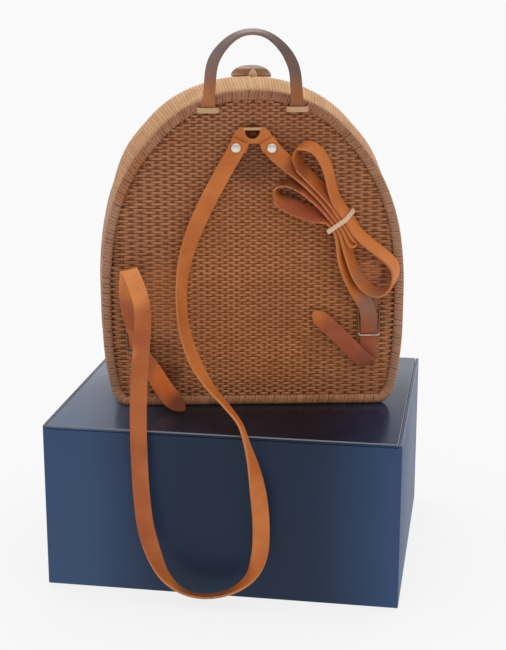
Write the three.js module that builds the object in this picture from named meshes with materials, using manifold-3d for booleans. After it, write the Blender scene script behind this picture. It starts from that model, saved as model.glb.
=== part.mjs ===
// A dome-shaped woven cane backpack, standing on a plain lidded box, strap side to -Y.
// Millimetres, +Z up, origin at the centre of the box's underside.
import * as THREE from 'three';
import Module from 'manifold-3d';

const wasm = await Module();
wasm.setup();

const GAP = 0.3;

// Box the bag stands on.
const BOX_WIDTH = 311;
const BOX_DEPTH = 258;
const BOX_HEIGHT = 149;
const BOX_WALL = 3;
const BOX_YAW = THREE.MathUtils.degToRad(-11.4);

// Bag: a dome outline carried from the back panel to a slightly smaller front panel.
const BAG_X = 6.6;
const BAG_FOOT = BOX_HEIGHT + GAP;
const BAG_HEIGHT = 281;
const BACK_Y = -46.5;
const DEPTH_FOOT = 104;
const DEPTH_TOP = 90;
const FRONT_SCALE = 0.997;
const FRONT_SHIFT = -6;
const RIM_WIDTH = 8;
const RIM_DEPTH = 9;
const WALL = 3;
const PANEL_SINK = 2;
const PANEL_CROWN = 5.6;
const GUSSET_SINK = 1.4;
const OUTLINE_POINTS = 84;
const ARC_DIVISIONS = 1200;
const PANEL_RINGS = [1, 0.72, 0.45, 0.2];
const PANEL_MIDDLE = 0.46;
const GUSSET_STOPS = [0, 0.14, 0.3, 0.5, 0.7, 0.86, 1];

// Leather and fittings.
const STRAP_WIDTH = 14.5;
const STRAP_THICK = 2.2;
const STRAP_STEP = 6.5;
const STRAP_ROOT_Y = -52.6;
const TIP_LENGTH = 10;
const TIP_BLUNTNESS = 0.05;
const TAIL_TIP_LENGTH = 20;
const TAIL_SPREAD = 3;
const TAIL_LENGTH = 90;
const HANDLE_WIDTH = 10.2;
const HANDLE_THICK = 3;
const HANDLE_FOOT_WIDTH = 13.2;
const HANDLE_FOOT_LENGTH = 16;
const HANDLE_STEP = 5;
const HANDLE_TOP_Y = -50;
const YOKE_Y = -48;
const YOKE_THICK = 2.3;
const RIVET_RADIUS = 4.3;
const RIVET_HEIGHT = 1.9;
const RIVET_SIDES = 20;
const BUCKLE_WIDTH = 20.6;
const BUCKLE_HEIGHT = 28;
const BUCKLE_WIRE = 1.2;
const BUCKLE_CORNER = 2;
const CORNER_TURNS = [0, 30, 60, 90];
const WIRE_TURNS = [0, 60, 120, 180, 240, 300];
const BUCKLE_TOP_Y = -50.4;
const BUCKLE_FOOT_Y = -52.2;
const TAB_WIDTH = 13;
const TAB_THICK = 1.6;
const TAB_LENGTH = 12;
const TAB_TURNS = [0, 45, 90, 135, 180];
const FITTING_STEP = 3;
const TIE_WIDTH = 4;
const TIE_THICK = 1;

// Finishes: colour, roughness, metalness.
const FINISH = {
  weave: [0x8c5a37, 0.7, 0],
  cane: [0xcda06e, 0.6, 0],
  leather: [0xb9693a, 0.5, 0],
  handle: [0x7a5240, 0.5, 0],
  metal: [0xe6dccf, 0.3, 0.9],
  tie: [0xe1cdb9, 0.6, 0],
  box: [0x37496a, 0.6, 0],
};

// Right half of the back outline, from the middle of the foot to the top of the dome.
// Columns: half width, height above the foot.
const OUTLINE = [
  [0, 0],
  [55, 0],
  [106, 0],
  [117, 1.2],
  [124.5, 8.5],
  [128.6, 21.5],
  [131.6, 42],
  [133.2, 62],
  [133.6, 95],
  [133.4, 117],
  [131.6, 140],
  [128.4, 161],
  [123.4, 180],
  [117.4, 196],
  [108.8, 213],
  [98, 229],
  [86, 243],
  [73, 256],
  [57, 267],
  [37, 275.6],
  [18, 280],
  [0, 281],
];

// Strap hanging over the box: rivet, panel, box edge, low loop, left limb, top bend, buckle, tail.
// Columns: x, y, z of the strap's middle, then the direction from there to its leading edge.
const STRAP_LEFT = [
  [-4.5, STRAP_ROOT_Y, 389.2, 0.9, 0, -0.4],
  [-8.4, STRAP_ROOT_Y, 380.7, 0.9, 0, -0.42],
  [-17.4, -52, 365.1, 0.9, 0, -0.45],
  [-27.8, -52.4, 346.1, 0.9, 0.05, -0.44],
  [-38.8, -54, 324.7, 0.9, 0.15, -0.38],
  [-48.6, -57, 300.7, 0.84, 0.45, -0.3],
  [-54.8, -60, 277.4, 0.7, 0.7, -0.15],
  [-56.8, -63.5, 253.2, 0.6, 0.8, 0.02],
  [-54.4, -69, 225.7, 0.52, 0.83, 0.2],
  [-46, -79, 201.3, 0.5, 0.83, 0.2],
  [-33.2, -94, 182.2, 0.4, 0.87, -0.1],
  [-17.6, -113, 168.6, 0.3, 0.92, -0.25],
  [-6.6, -134, 158.5, 0.2, 0.94, -0.3],
  [-1.1, -147, 144, 0.35, 0.9, -0.3],
  [3.9, -149, 123.8, 0.65, 0.7, -0.2],
  [8.1, -149, 96.6, 0.95, 0.25, -0.05],
  [9.8, -148.5, 69.2, 1, 0, 0],
  [8.1, -147, 45.4, 0.88, -0.45, -0.12],
  [0.3, -147, 26.4, 0.36, -0.92, 0.04],
  [-15.2, -147, 14, 0.1, -0.94, 0.18],
  [-38.5, -145, 8.4, 0, -0.95, 0.22],
  [-56.6, -142, 11.6, -0.1, -0.94, 0.18],
  [-72, -138, 23.4, -0.38, -0.92, 0.02],
  [-82.2, -134, 43.8, -0.8, -0.58, -0.1],
  [-88.8, -130.5, 67.3, -0.98, 0, -0.15],
  [-91.8, -127, 93.6, -0.98, 0.15, 0],
  [-93.1, -124, 119.8, -0.98, 0.18, 0],
  [-93.7, -121, 141.4, -0.98, 0.18, 0],
  [-94, -112, 161.6, -0.99, 0.1, 0.02],
  [-93.4, -103, 186, -1, 0, 0.04],
  [-91.6, -94.5, 210.5, -1, 0, 0.05],
  [-89.6, -87, 235, -1, 0, -0.04],
  [-90.6, -81, 253.5, -0.97, 0, -0.2],
  [-95.4, -75.5, 268.4, -0.94, 0, -0.32],
  [-99.9, -69.6, 277.4, -0.94, 0, -0.34],
  [-102, -64, 279.2, -0.96, 0, -0.28],
  [-103.4, -59.2, 275.4, -0.98, 0, -0.16],
  [-104, -57, 266.4, -0.995, 0, -0.04],
  [-104, -56.4, 254.4, -0.995, 0, 0.02],
  [-102.6, -56.2, 241.5, -0.99, 0, -0.1],
  [-99.6, -56, 229, -0.99, 0, -0.14],
  [-96.4, -52.8, 216, -0.99, 0, -0.14],
  [-95.4, -49, 203.5, -0.97, 0, -0.22],
  [-91.2, -48.7, 194.8, -0.92, 0, -0.38],
  [-84, -50.6, 184.4, -0.89, 0, -0.46],
  [-75.8, -54.6, 171.6, -0.86, -0.05, -0.5],
  [-66.8, -60.4, 160, -0.8, -0.2, -0.56],
  [-55, -69.4, 151.7, -0.72, -0.45, -0.4],
];

// Direction of the gathered strap's free edge: out from the panel and down to the left.
const ON_EDGE = [-0.469, -0.819, -0.33];
const HALF_DOWN = [-0.2, -0.6, -0.77];

// Middle of the tie, the way the layers stack in it, their number and pitch, and how far each runs straight.
const TIE = { x: 82.4, y: -57.4, z: 319.2, stackX: 0.817, stackZ: 0.575, layers: 5, pitch: 3.35, reach: 6 };
// Room that the tie leaves beside the layers and over their edges, and the extra of its slanted sides.
const TIE_ROOM = { side: 2.1, edge: 1.1, slant: 1.1 };
const MIDDLE_LAYER = (TIE.layers - 1) / 2;

// One pass of the strap through the tie, as three rows; layer 0 is the lowest.
function tiePass(layer, downward) {
  const shift = (layer - MIDDLE_LAYER) * TIE.pitch;
  const sign = downward ? 1 : -1;
  const ends = [-sign, 0, sign];
  return ends.map((end) => [
    TIE.x + shift * TIE.stackX + end * TIE.reach * TIE.stackZ,
    TIE.y,
    TIE.z + shift * TIE.stackZ - end * TIE.reach * TIE.stackX,
    ...ON_EDGE,
  ]);
}

// Rows of the gathered strap that stand on edge. Columns: x, z.
function onEdge(rows, direction = ON_EDGE) {
  return rows.map(([x, z]) => [x, TIE.y, z, ...direction]);
}

// Strap gathered by the tie: rivet, short turn, upper loop, outer loop, left loop, buckle, tail.
const STRAP_RIGHT = [
  [17.7, STRAP_ROOT_Y, 389.1, -0.84, 0, -0.54],
  [21.6, STRAP_ROOT_Y, 382.5, -0.82, 0, -0.57],
  [26.4, -52.7, 377.2, -0.75, 0, -0.66],
  [33.6, -55.6, 371, -0.64, -0.4, -0.63],
  [41.5, -57.8, 364, -0.55, -0.7, -0.45],
  ...onEdge([[50.3, 355.8], [61, 345.6], [70.6, 335]]),
  ...tiePass(2, true),
  ...onEdge([[88.6, 308.5], [90.8, 302.5], [93, 298.8], [95.8, 298.6], [96.6, 301.8], [94.4, 306.6]]),
  ...onEdge([[91.2, 311.6]]),
  ...tiePass(3, false),
  ...onEdge([[75.8, 335], [69.4, 342.6], [61.4, 351.2], [53, 359.6], [45.6, 367.4], [41, 375]]),
  ...onEdge([[42.8, 382.4], [50.4, 385], [60, 382], [67.2, 372], [71.8, 359.6], [74.4, 347.4]]),
  ...onEdge([[78.2, 337]]),
  ...tiePass(4, true),
  ...onEdge([[95.6, 310.4], [103.4, 302.6], [115.5, 292.8], [126.6, 283.6], [131.3, 274.6]]),
  ...onEdge([[129, 262], [119.5, 255], [108.5, 257.4], [99, 267.4], [92, 283], [87.6, 297.5]]),
  ...tiePass(1, false),
  ...onEdge([[69, 330.8], [59.2, 340.4], [48.8, 348.4], [38, 353], [29, 352.8]]),
  ...onEdge([[24, 347], [27.5, 339.6]], HALF_DOWN),
  ...onEdge([[36.5, 333.6], [48, 328.4], [59.6, 324.4]], HALF_DOWN),
  ...onEdge([[67.4, 322.4]]),
  ...tiePass(0, true),
  ...onEdge([[82, 301.4], [83.2, 289], [87, 275], [93.2, 262]]),
  [100.5, -58.6, 252, -0.8, -0.45, -0.4],
  [106, -56.6, 243.5, -0.95, -0.05, -0.3],
  [108.4, -55, 233.5, -0.98, 0, -0.16],
  [109.2, -51.8, 223.6, -0.99, 0, -0.1],
  [109, -48.7, 213.4, -0.99, 0, -0.08],
  [109, -48.2, 203, -0.99, 0, -0.1],
  [110, -48.8, 193, -0.97, 0, -0.24],
  [111, -51.6, 188.2, -0.9, 0, -0.43],
  [108, -54.6, 189.6, -0.8, 0, -0.6],
  [102.6, -55.4, 194.6, -0.72, 0, -0.7],
  [95.2, -55.6, 202.2, -0.71, 0, -0.71],
  [84, -55.6, 214, -0.71, 0, -0.71],
  [71.5, -55.6, 226, -0.71, 0, -0.71],
  [59, -55.6, 238, -0.71, 0, -0.71],
];

// Carrying handle: flat on the panel at both feet, turned on edge over the top.
// Columns as for the straps.
const HANDLE = [
  [-32.1, -48, 412.2, 1, 0, 0],
  [-31.9, -48.6, 418, 1, 0, 0],
  [-30.4, -49.6, 435, 0.98, -0.15, -0.05],
  [-29.2, -49.5, 448, 0.88, -0.45, -0.15],
  [-26.8, HANDLE_TOP_Y, 456.6, 0.75, -0.55, -0.35],
  [-21.6, HANDLE_TOP_Y, 464.9, 0.5, -0.75, -0.42],
  [-13.9, HANDLE_TOP_Y, 472.8, 0.28, -0.88, -0.36],
  [-4.7, HANDLE_TOP_Y, 478.4, 0.1, -0.95, -0.28],
  [6, HANDLE_TOP_Y, 480.2, 0, -0.97, -0.25],
  [16.6, HANDLE_TOP_Y, 478.2, -0.1, -0.95, -0.28],
  [25.6, HANDLE_TOP_Y, 472.6, -0.28, -0.88, -0.36],
  [33.3, HANDLE_TOP_Y, 464.7, -0.5, -0.75, -0.42],
  [38.4, HANDLE_TOP_Y, 456.4, -0.75, -0.55, -0.35],
  [41.6, -49.5, 448, -0.88, -0.45, -0.15],
  [43.1, -49.6, 435, -0.98, -0.15, -0.05],
  [44.1, -48.6, 418, -1, 0, 0],
  [44.3, -48, 413, -1, 0, 0],
];

// Cane staples that hold the handle to the panel: middle, length, width and rise.
const STAPLE_FOOT_Y = -47;
const STAPLE_THICK = 1.4;
const STAPLE_BEND = { lean: 0.3, knee: 0.65, shoulder: 2.2, bow: 0.5 };
const STAPLES = {
  handle_binding_left: { x: -32.1, z: 414.2, length: 18.2, width: 4.6, rise: 4 },
  handle_binding_right: { x: 44.3, z: 415, length: 18.2, width: 4.6, rise: 4 },
};

// Yoke plate in the panel's plane. Columns: x, z.
const YOKE = [
  [-14.8, 377.4],
  [-11.2, 391.4],
  [-9, 396],
  [-4.8, 399.8],
  [16.2, 399.8],
  [20.6, 396],
  [23.4, 391.4],
  [28.9, 377.4],
  [14.6, 377.4],
  [12, 385.8],
  [3, 385.8],
  [0.6, 377.4],
];
const YOKE_BAR = { x: 5.6, z: 398.6, length: 15.6, width: 2, thick: 1.5 };
const YOKE_HOLE = [
  [3.2, 390],
  [8, 390],
  [10.6, 392],
  [12.2, 395.4],
  [12.2, 397],
  [-0.6, 397],
  [-0.6, 395.4],
  [0.8, 392],
];

const RIVETS = {
  rivet_left: { x: -8.4, z: 382.5 },
  rivet_right: { x: 22.4, z: 382.2 },
};
const BUCKLES = {
  left: { x: -96.2, z: 214 },
  right: { x: 109.3, z: 227.6 },
};

// Leather bridge of the closure, over a cane peg, on top of the dome. Columns as for the straps.
const CLASP_Y = 14;
const CLASP = [
  [-11.2, CLASP_Y, 437.8, 0.05, -0.97, 0.02],
  [-7.4, CLASP_Y, 439.9, 0.1, -0.86, -0.3],
  [-2.4, CLASP_Y, 441.4, 0.05, -0.77, -0.56],
  [6.8, CLASP_Y, 442.2, 0, -0.77, -0.62],
  [16, CLASP_Y, 441.3, -0.05, -0.77, -0.56],
  [21, CLASP_Y, 439.7, -0.1, -0.86, -0.3],
  [24.8, CLASP_Y, 437.4, -0.05, -0.97, 0.02],
];
const CLASP_WIDTH = 13;
const CLASP_THICK = 2;
const CLASP_STEP = 4;
const PEG = { x: 8, y: 2, foot: 438.1, height: 6, base: 4.4, tip: 1.6, sides: 16 };

// Corners are one where they agree to this part of a millimetre.
const WELD = 1e4;
// How far a cut runs past the board that it cuts.
const CUT_PAST = 5;

function vec(x, y, z) {
  return new THREE.Vector3(x, y, z);
}

// Closed triangle mesh from points and faces, turned so that its volume is positive.
function solid(points, faces) {
  let volume = 0;
  for (const [a, b, c] of faces) {
    const normal = points[b].clone().cross(points[c]);
    volume += points[a].dot(normal);
  }
  const order = volume < 0 ? (f) => [f[0], f[2], f[1]] : (f) => f;
  const geometry = new THREE.BufferGeometry().setFromPoints(points);
  geometry.setIndex(faces.flatMap(order));
  geometry.computeVertexNormals();
  return geometry;
}

// Skin over a row of equal rings, either closed on itself or capped at both ends.
function loft(rings, closed) {
  const count = rings[0].length;
  const points = rings.flat();
  const faces = [];
  const last = closed ? rings.length : rings.length - 1;
  for (let i = 0; i < last; i += 1) {
    const here = i * count;
    const next = ((i + 1) % rings.length) * count;
    for (let j = 0; j < count; j += 1) {
      const k = (j + 1) % count;
      faces.push([here + j, next + j, next + k], [here + j, next + k, here + k]);
    }
  }
  if (!closed) {
    const end = (rings.length - 1) * count;
    for (let j = 1; j < count - 1; j += 1) {
      faces.push([0, j, j + 1], [end, end + j + 1, end + j]);
    }
  }
  return solid(points, faces);
}

// Whole outline as evenly spaced points with their inward normals, in the panel's plane.
function makeOutline() {
  const right = OUTLINE.map(([x, z]) => vec(x, 0, z));
  const left = OUTLINE.slice(1, -1).reverse().map(([x, z]) => vec(-x, 0, z));
  const curve = new THREE.CatmullRomCurve3([...right, ...left], true, 'centripetal');
  curve.arcLengthDivisions = ARC_DIVISIONS;
  const spaced = curve.getSpacedPoints(OUTLINE_POINTS).slice(0, OUTLINE_POINTS);
  const points = spaced.map((p) => [p.x, Math.max(p.z, 0)]);
  return points.map((p, i) => {
    const before = points[(i + OUTLINE_POINTS - 1) % OUTLINE_POINTS];
    const after = points[(i + 1) % OUTLINE_POINTS];
    const dx = after[0] - before[0];
    const dz = after[1] - before[1];
    const length = Math.hypot(dx, dz);
    return { x: p[0], z: p[1], nx: -dz / length, nz: dx / length };
  });
}

const outline = makeOutline();

function frontY(z) {
  return BACK_Y + DEPTH_FOOT - (DEPTH_FOOT - DEPTH_TOP) * (z / BAG_HEIGHT);
}

// Point of the bag: outline station, distance in from its edge, depth behind the outer face.
function bagPoint(station, inward, depth, front) {
  const scale = front ? FRONT_SCALE : 1;
  const shift = front ? FRONT_SHIFT : 0;
  const x = (station.x + station.nx * inward) * scale + shift;
  const z = (station.z + station.nz * inward) * scale;
  const y = front ? frontY(z) - depth : BACK_Y + depth;
  return vec(BAG_X + x, y, BAG_FOOT + z);
}

// Rounded cane binding around one end of the bag. Columns: inward, depth.
const RIM_SECTION = [
  [0, 2.4],
  [1, 0.7],
  [2.6, 0],
  [5.4, 0],
  [7, 0.7],
  [RIM_WIDTH, 2.2],
  [RIM_WIDTH, RIM_DEPTH],
  [0, RIM_DEPTH],
];

function rim(front) {
  const rings = outline.map((s) => RIM_SECTION.map(([a, d]) => bagPoint(s, a, d, front)));
  return loft(rings, true);
}

// Panel inside the rim: rings drawn in towards the middle, crowned outwards.
function panel(front) {
  const middle = { x: 0, z: BAG_HEIGHT * PANEL_MIDDLE };
  const edge = outline.map((s) => ({
    x: s.x + s.nx * (RIM_WIDTH + GAP),
    z: s.z + s.nz * (RIM_WIDTH + GAP),
    nx: 0,
    nz: 0,
  }));
  const points = [];
  const faces = [];
  for (const depth of [PANEL_SINK, PANEL_SINK + WALL]) {
    for (const r of PANEL_RINGS) {
      const rise = PANEL_CROWN * (1 - r * r);
      for (const e of edge) {
        const x = middle.x + (e.x - middle.x) * r;
        const z = middle.z + (e.z - middle.z) * r;
        points.push(bagPoint({ x, z, nx: 0, nz: 0 }, 0, depth - rise, front));
      }
    }
    points.push(bagPoint({ ...middle, nx: 0, nz: 0 }, 0, depth - PANEL_CROWN, front));
  }
  const side = PANEL_RINGS.length * OUTLINE_POINTS + 1;
  for (let j = 0; j < OUTLINE_POINTS; j += 1) {
    const k = (j + 1) % OUTLINE_POINTS;
    for (let i = 0; i < PANEL_RINGS.length - 1; i += 1) {
      const a = i * OUTLINE_POINTS;
      const b = a + OUTLINE_POINTS;
      faces.push([a + j, a + k, b + k], [a + j, b + k, b + j]);
      faces.push([side + a + j, side + b + k, side + a + k]);
      faces.push([side + a + j, side + b + j, side + b + k]);
    }
    const inner = (PANEL_RINGS.length - 1) * OUTLINE_POINTS;
    faces.push([inner + j, inner + k, side - 1]);
    faces.push([side + inner + j, 2 * side - 1, side + inner + k]);
    faces.push([j, side + j, side + k], [j, side + k, k]);
  }
  return solid(points, faces);
}

// How far the wall swells between the rims. Columns: height above the foot, swell.
const SWELL = [
  [15, 0],
  [70, 3],
  [180, 2.8],
  [232, 9],
  [262, 9.5],
];

function swell(height) {
  const next = SWELL.findIndex(([h]) => h > height);
  if (next <= 0) {
    return next === 0 ? 0 : SWELL[SWELL.length - 1][1];
  }
  const [lowHeight, low] = SWELL[next - 1];
  const [highHeight, high] = SWELL[next];
  const share = THREE.MathUtils.smoothstep(height, lowHeight, highHeight);
  return THREE.MathUtils.lerp(low, high, share);
}

// Wall between the two rims, swelling out between them except at the foot.
function gusset() {
  const rings = outline.map((s) => {
    const lift = swell(s.z);
    const skin = (extra) => GUSSET_STOPS.map((t) => {
      const inward = GUSSET_SINK + extra - lift * Math.sin(Math.PI * t);
      const a = bagPoint(s, inward, RIM_DEPTH + GAP, false);
      const b = bagPoint(s, inward, RIM_DEPTH + GAP, true);
      return a.lerp(b, t);
    });
    return [...skin(0), ...skin(WALL).reverse()];
  });
  return loft(rings, true);
}

// Flat strap along a table of rows. When asked, its free tip is rounded off, its tail spreads towards the
// tip and both its ends are flared.
function ribbon(rows, width, thick, options = {}) {
  const step = options.step ?? STRAP_STEP;
  const tip = options.tip ?? 0;
  const flare = options.flare ?? { width, length: 1 };
  const tail = options.tail ?? { spread: 0, length: 1 };
  const path = new THREE.CatmullRomCurve3(rows.map((r) => vec(r[0], r[1], r[2])), false, 'centripetal');
  const edge = new THREE.CatmullRomCurve3(rows.map((r) => vec(r[3], r[4], r[5])), false, 'catmullrom');
  const stations = [];
  for (let i = 0; i < rows.length - 1; i += 1) {
    const span = vec(...rows[i].slice(0, 3)).distanceTo(vec(...rows[i + 1].slice(0, 3)));
    const cuts = Math.max(1, Math.round(span / step));
    for (let j = 0; j < cuts; j += 1) {
      stations.push((i + j / cuts) / (rows.length - 1));
    }
  }
  stations.push(1);
  const middles = stations.map((t) => path.getPoint(t));
  const lengths = middles.map((p, i) => (i === 0 ? 0 : p.distanceTo(middles[i - 1])));
  const total = lengths.reduce((sum, l) => sum + l, 0);
  let run = 0;
  const rings = stations.map((t, i) => {
    run += lengths[i];
    const left = total - run;
    const taper = left < tip ? Math.sqrt(Math.max(TIP_BLUNTNESS, 1 - ((tip - left) / tip) ** 2)) : 1;
    const along = path.getTangent(t);
    const across = edge.getPoint(t);
    across.addScaledVector(along, -across.dot(along)).normalize();
    const face = along.clone().cross(across);
    const nearEnd = 1 - THREE.MathUtils.smoothstep(Math.min(run, left), 0, flare.length);
    const spread = tail.spread * (1 - THREE.MathUtils.smoothstep(left, 0, tail.length));
    const half = taper * (THREE.MathUtils.lerp(width, flare.width, nearEnd) + spread) / 2;
    const corner = (a, f) => middles[i].clone()
      .addScaledVector(across, a * half)
      .addScaledVector(face, f * thick / 2);
    return [corner(-1, -1), corner(1, -1), corner(1, 1), corner(-1, 1)];
  });
  return loft(rings, false);
}

// Cane strip bowed over leather, its ends turned back to the panel.
function staple({ x, z, length, width, rise }) {
  const { lean, knee, shoulder, bow } = STAPLE_BEND;
  const half = length / 2;
  const places = [
    [-half, 0],
    [lean - half, rise * knee],
    [shoulder - half, rise],
    [0, rise + bow],
    [half - shoulder, rise],
    [half - lean, rise * knee],
    [half, 0],
  ];
  const rows = places.map(([along, out]) => [x + along, STAPLE_FOOT_Y - out, z, 0, 0, 1]);
  return ribbon(rows, width, STAPLE_THICK, { step: FITTING_STEP });
}

function yokePlate() {
  const shape = new THREE.Shape(YOKE.map(([x, z]) => new THREE.Vector2(x, z)));
  shape.holes.push(new THREE.Path(YOKE_HOLE.map(([x, z]) => new THREE.Vector2(x, z))));
  const geometry = new THREE.ExtrudeGeometry(shape, { depth: YOKE_THICK, bevelEnabled: false });
  geometry.rotateX(Math.PI / 2);
  geometry.translate(0, YOKE_Y, 0);
  return geometry;
}

// Flat cane strip on the yoke's top edge.
function yokeBar() {
  const { x, z, length, width, thick } = YOKE_BAR;
  const geometry = new THREE.BoxGeometry(length, thick, width);
  geometry.translate(x, YOKE_Y - YOKE_THICK - GAP - thick / 2, z);
  return geometry;
}

function rivet({ x, z }) {
  const profile = [
    [0, 0],
    [RIVET_RADIUS, 0],
    [RIVET_RADIUS, RIVET_HEIGHT * 0.45],
    [RIVET_RADIUS * 0.8, RIVET_HEIGHT * 0.85],
    [RIVET_RADIUS * 0.4, RIVET_HEIGHT],
    [0, RIVET_HEIGHT],
  ];
  const geometry = new THREE.LatheGeometry(profile.map(([r, h]) => new THREE.Vector2(r, h)), RIVET_SIDES);
  geometry.rotateX(Math.PI);
  const seat = STRAP_ROOT_Y - STRAP_THICK / 2 - GAP;
  geometry.translate(x, seat, z);
  return geometry;
}

// Wire frame of a buckle with rounded corners, leaning out a little at its foot.
function buckle({ x, z }) {
  const halfW = BUCKLE_WIDTH / 2 - BUCKLE_WIRE;
  const halfH = BUCKLE_HEIGHT / 2 - BUCKLE_WIRE;
  const corner = BUCKLE_CORNER;
  const path = [];
  for (const [sx, sz, start] of [[1, 1, 0], [-1, 1, 90], [-1, -1, 180], [1, -1, 270]]) {
    for (const turn of CORNER_TURNS) {
      const a = THREE.MathUtils.degToRad(start + turn);
      const px = sx * (halfW - corner) + corner * Math.cos(a);
      const pz = sz * (halfH - corner) + corner * Math.sin(a);
      path.push([px, pz]);
    }
  }
  const rings = path.map(([px, pz], i) => {
    const before = path[(i + path.length - 1) % path.length];
    const after = path[(i + 1) % path.length];
    const along = vec(after[0] - before[0], 0, after[1] - before[1]).normalize();
    const out = vec(along.z, 0, -along.x);
    const middleY = (BUCKLE_TOP_Y + BUCKLE_FOOT_Y) / 2 + (BUCKLE_TOP_Y - BUCKLE_FOOT_Y) * (pz / halfH) / 2;
    return WIRE_TURNS.map((turn) => {
      const a = THREE.MathUtils.degToRad(turn);
      const point = vec(x + px, middleY, z + pz);
      point.addScaledVector(out, BUCKLE_WIRE * Math.cos(a));
      point.y += BUCKLE_WIRE * Math.sin(a);
      return point;
    });
  });
  return loft(rings, true);
}

// Leather loop that holds a buckle's top bar to the panel.
function anchorTab({ x, z }) {
  const barZ = z + BUCKLE_HEIGHT / 2 - BUCKLE_WIRE;
  const radius = BUCKLE_WIRE + GAP + TAB_THICK / 2;
  const rows = [];
  rows.push([x, BUCKLE_TOP_Y + radius, barZ + TAB_LENGTH, 1, 0, 0]);
  rows.push([x, BUCKLE_TOP_Y + radius, barZ + TAB_LENGTH / 2, 1, 0, 0]);
  for (const turn of TAB_TURNS) {
    const a = THREE.MathUtils.degToRad(turn);
    rows.push([x, BUCKLE_TOP_Y + radius * Math.cos(a), barZ - radius * Math.sin(a), 1, 0, 0]);
  }
  rows.push([x, BUCKLE_TOP_Y - radius, barZ + TAB_LENGTH * 0.4, 1, 0, 0]);
  rows.push([x, BUCKLE_TOP_Y - radius, barZ + TAB_LENGTH * 0.8, 1, 0, 0]);
  return ribbon(rows, TAB_WIDTH, TAB_THICK, { step: FITTING_STEP });
}

// Band around the five layers of the gathered strap.
function tie() {
  const stack = vec(TIE.stackX, 0, TIE.stackZ);
  const along = vec(TIE.stackZ, 0, -TIE.stackX);
  const out = vec(...ON_EDGE).normalize();
  const halfStack = MIDDLE_LAYER * TIE.pitch + TIE_ROOM.side;
  const halfOut = STRAP_WIDTH / 2 + TIE_ROOM.edge;
  const ring = (grow) => [[-1, -1], [1, -1], [1, 1], [-1, 1]].map(([s, o]) => vec(TIE.x, TIE.y, TIE.z)
    .addScaledVector(stack, s * (halfStack + grow * TIE_ROOM.slant))
    .addScaledVector(out, o * (halfOut + grow)));
  const inner = ring(0);
  const outer = ring(TIE_THICK);
  const shiftBy = (p, end) => p.clone().addScaledVector(along, end * TIE_WIDTH / 2);
  const rings = inner.map((p, i) => [
    shiftBy(p, -1),
    shiftBy(p, 1),
    shiftBy(outer[i], 1),
    shiftBy(outer[i], -1),
  ]);
  return loft(rings, true);
}

function peg() {
  const profile = [
    [0, 0],
    [PEG.base, 0],
    [PEG.base * 0.8, PEG.height * 0.45],
    [PEG.tip, PEG.height],
    [0, PEG.height],
  ];
  const geometry = new THREE.LatheGeometry(profile.map(([r, h]) => new THREE.Vector2(r, h)), PEG.sides);
  geometry.rotateX(Math.PI / 2);
  geometry.translate(PEG.x, PEG.y, PEG.foot);
  return geometry;
}

function toManifold(geometry) {
  const flat = geometry.index ? geometry.toNonIndexed() : geometry;
  const seen = new Map();
  const points = [];
  const triVerts = [];
  const position = flat.getAttribute('position');
  for (let i = 0; i < position.count; i += 1) {
    const p = [position.getX(i), position.getY(i), position.getZ(i)];
    const key = p.map((v) => Math.round(v * WELD)).join(',');
    if (!seen.has(key)) {
      seen.set(key, points.length / 3);
      points.push(...p);
    }
    triVerts.push(seen.get(key));
  }
  const mesh = new wasm.Mesh({
    numProp: 3,
    vertProperties: new Float32Array(points),
    triVerts: new Uint32Array(triVerts),
  });
  return new wasm.Manifold(mesh);
}

function fromManifold(manifold) {
  const mesh = manifold.getMesh();
  const geometry = new THREE.BufferGeometry();
  geometry.setAttribute('position', new THREE.BufferAttribute(mesh.vertProperties, 3));
  geometry.setIndex(new THREE.BufferAttribute(mesh.triVerts, 1));
  return geometry;
}

function block(width, depth, height, foot) {
  const geometry = new THREE.BoxGeometry(width, depth, height);
  geometry.translate(0, 0, foot + height / 2);
  return geometry;
}

// Open tray: full-height ends, with the front and back lowered by the lid board.
function boxTray() {
  const lidRoom = BOX_WALL + GAP;
  const innerWidth = BOX_WIDTH - 2 * BOX_WALL;
  const innerDepth = BOX_DEPTH - 2 * BOX_WALL;
  const whole = toManifold(block(BOX_WIDTH, BOX_DEPTH, BOX_HEIGHT, 0));
  const hollow = toManifold(block(innerWidth, innerDepth, BOX_HEIGHT, BOX_WALL));
  const rebateDepth = BOX_DEPTH + 2 * CUT_PAST;
  const rebate = toManifold(block(innerWidth, rebateDepth, lidRoom + CUT_PAST, BOX_HEIGHT - lidRoom));
  const geometry = fromManifold(whole.subtract(hollow).subtract(rebate));
  geometry.rotateZ(BOX_YAW);
  return geometry;
}

function boxLid() {
  const width = BOX_WIDTH - 2 * BOX_WALL - 2 * GAP;
  const geometry = block(width, BOX_DEPTH, BOX_WALL, BOX_HEIGHT - BOX_WALL);
  geometry.rotateZ(BOX_YAW);
  return geometry;
}

const part = new THREE.Group();
part.name = 'woven_dome_backpack';

function add(name, geometry, [color, roughness, metalness]) {
  const material = new THREE.MeshStandardMaterial({ color, roughness, metalness });
  const mesh = new THREE.Mesh(geometry, material);
  mesh.name = name;
  part.add(mesh);
}

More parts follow.
